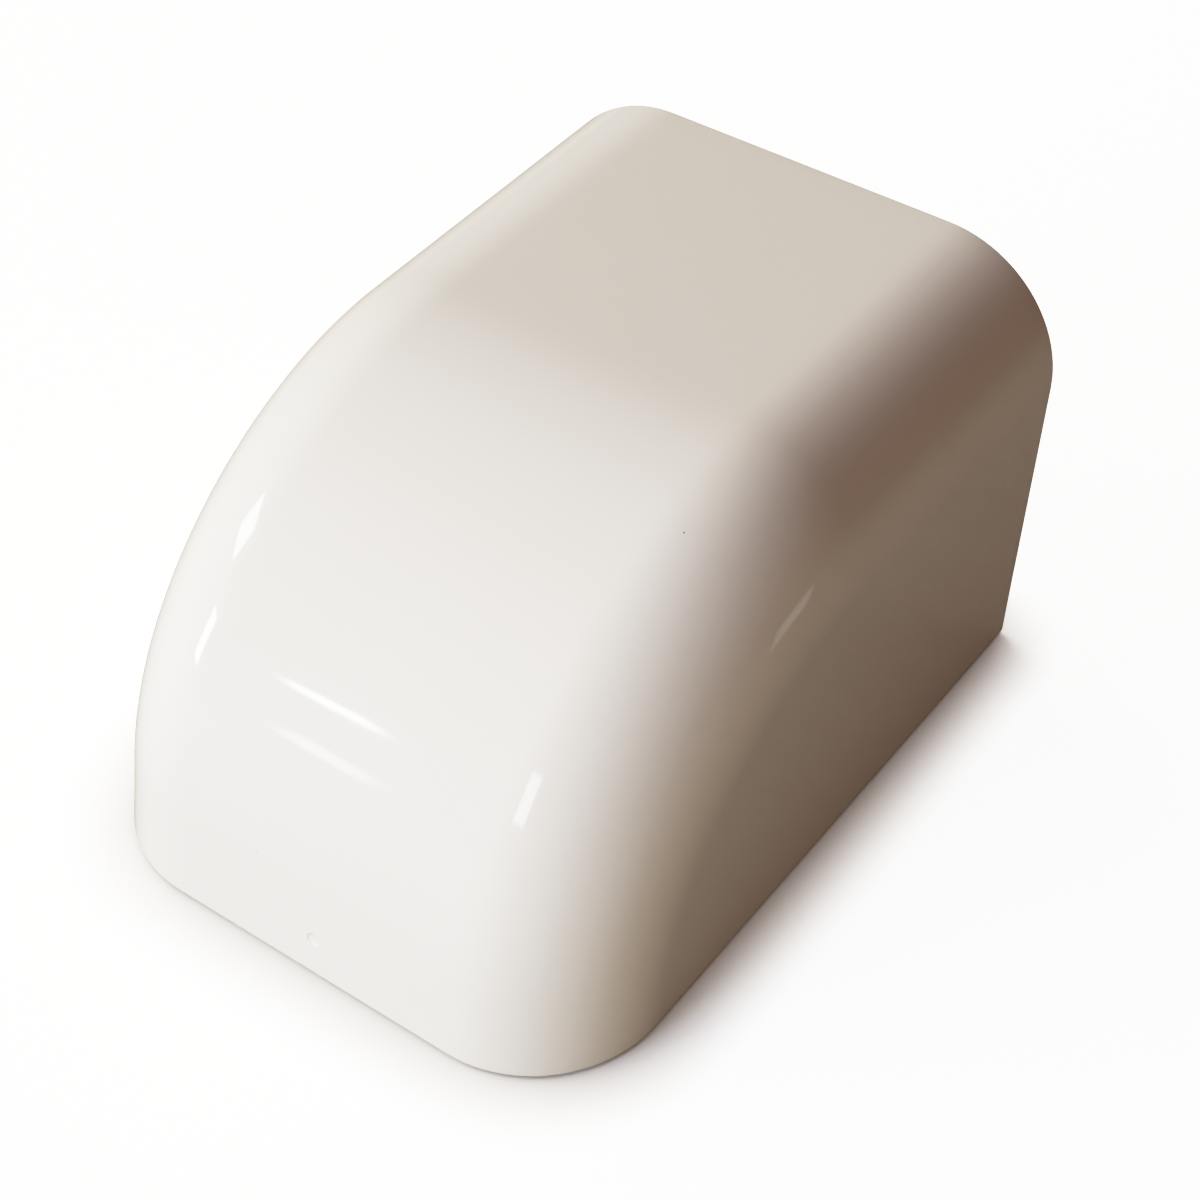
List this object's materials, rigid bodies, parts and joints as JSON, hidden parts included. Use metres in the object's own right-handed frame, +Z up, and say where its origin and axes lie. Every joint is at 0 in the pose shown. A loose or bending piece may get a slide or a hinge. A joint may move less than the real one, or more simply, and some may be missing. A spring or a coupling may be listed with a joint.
{
  "type": "gymnastics chalk block",
  "caption": "Pressed chalk block on a dust grid in a low tray, under a glossy white moulded cover with a flat back and a rounded nose that lifts straight off.",
  "frame": {"origin": "on the resting surface, under the middle of the cover's box", "axes": "+Z up, +Y towards the flat back, -Y towards the rounded nose, +X to the right of someone facing the nose"},
  "size_m": [0.068, 0.09, 0.0525],
  "materials": {
    "cover_plastic": "gloss",
    "seal_silicone": "satin",
    "pad_foam": "matte",
    "tray_plastic": "satin",
    "grid_plastic": "satin",
    "chalk": "matte",
    "foot_rubber": "matte"
  },
  "bodies": {
    "base": {"base_tray": "tray_plastic", "seal_ring": "seal_silicone", "dust_grid": "grid_plastic", "chalk_block": "chalk", "foot_front_left": "foot_rubber", "foot_front_right": "foot_rubber", "foot_rear_left": "foot_rubber", "foot_rear_right": "foot_rubber"},
    "cover": {"cover": "cover_plastic", "pressure_pad": "pad_foam"}
  },
  "joints": [
    {"name": "cover_lift", "type": "slide", "parent": "base", "child": "cover", "axis": [0, 0, 1], "range_m": [0, 0.05]}
  ]
}
